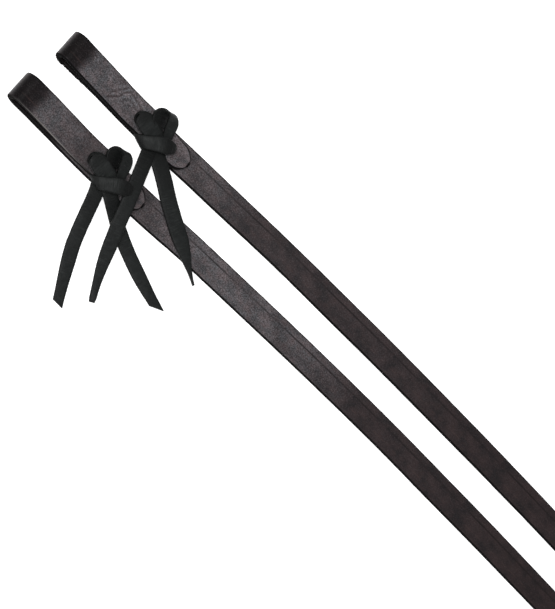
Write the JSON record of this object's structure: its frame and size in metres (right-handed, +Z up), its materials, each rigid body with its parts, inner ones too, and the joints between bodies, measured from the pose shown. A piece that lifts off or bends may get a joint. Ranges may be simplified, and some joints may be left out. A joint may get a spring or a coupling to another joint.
{
  "type": "leather split reins",
  "caption": "Pair of flat leather split reins with folded bit loops closed by knotted leather laces, laid straight, with the rest of each rein folded into a tied hank.",
  "frame": {"origin": "on the surface that the reins lie on, on the underside of the near rein, under the middle of its bit loop", "axes": "+X runs from the bit loops along the reins towards the hanks, +Y from the near rein towards the far rein, +Z up"},
  "size_m": [0.8417, 0.1695, 0.0231],
  "materials": {
    "rein_leather": "oiled dark brown bridle leather, semi-gloss",
    "lace_leather": "black lace leather, satin"
  },
  "bodies": {
    "near_rein": {"near_rein_loop": "rein_leather", "near_lace_knot": "lace_leather", "near_right_tail": "lace_leather"},
    "near_strap": {"near_rein_strap": "rein_leather", "near_rein_twist": "rein_leather", "near_rein_hank": "rein_leather", "near_hank_tie": "lace_leather"},
    "near_left_lace": {"near_left_tail": "lace_leather"},
    "near_right_lace": {"near_right_tail_tip": "lace_leather"},
    "far_rein": {"far_rein_loop": "rein_leather", "far_lace_knot": "lace_leather"},
    "far_strap": {"far_rein_strap": "rein_leather", "far_rein_twist": "rein_leather", "far_rein_hank": "rein_leather", "far_hank_tie": "lace_leather"},
    "far_left_lace": {"far_left_tail": "lace_leather"},
    "far_right_lace": {"far_right_tail": "lace_leather"}
  },
  "joints": [
    {"name": "near_strap_bend", "type": "hinge", "parent": "near_rein", "child": "near_strap", "pos_m": [0.14998, 0.00267, 0.0019], "axis": [0.0178, -0.9998, 0], "range_deg": [0, 60]},
    {"name": "near_left_tail_lift", "type": "hinge", "parent": "near_rein", "child": "near_left_lace", "pos_m": [0.0334, -0.0162, 0.0092], "axis": [-0.9074, -0.4203, 0], "range_deg": [0, 85]},
    {"name": "near_right_tail_lift", "type": "hinge", "parent": "near_rein", "child": "near_right_lace", "pos_m": [0.0775, -0.0285, 0.00095], "axis": [-0.3291, -0.9443, 0], "range_deg": [0, 85]},
    {"name": "far_rein_lift", "type": "slide", "parent": "near_rein", "child": "far_rein", "axis": [0, 0, 1], "range_m": [0, 0.08]},
    {"name": "far_strap_bend", "type": "hinge", "parent": "far_rein", "child": "far_strap", "pos_m": [0.15428, 0.04197, 0.0019], "axis": [0.0178, -0.9998, 0], "range_deg": [0, 60]},
    {"name": "far_left_tail_lift", "type": "hinge", "parent": "far_rein", "child": "far_left_lace", "pos_m": [0.044, 0.0185, 0.0096], "axis": [-0.9255, -0.3787, 0], "range_deg": [0, 85]},
    {"name": "far_right_tail_lift", "type": "hinge", "parent": "far_rein", "child": "far_right_lace", "pos_m": [0.053, 0.0243, 0.0093], "axis": [-0.5049, -0.8632, 0], "range_deg": [0, 85]}
  ]
}
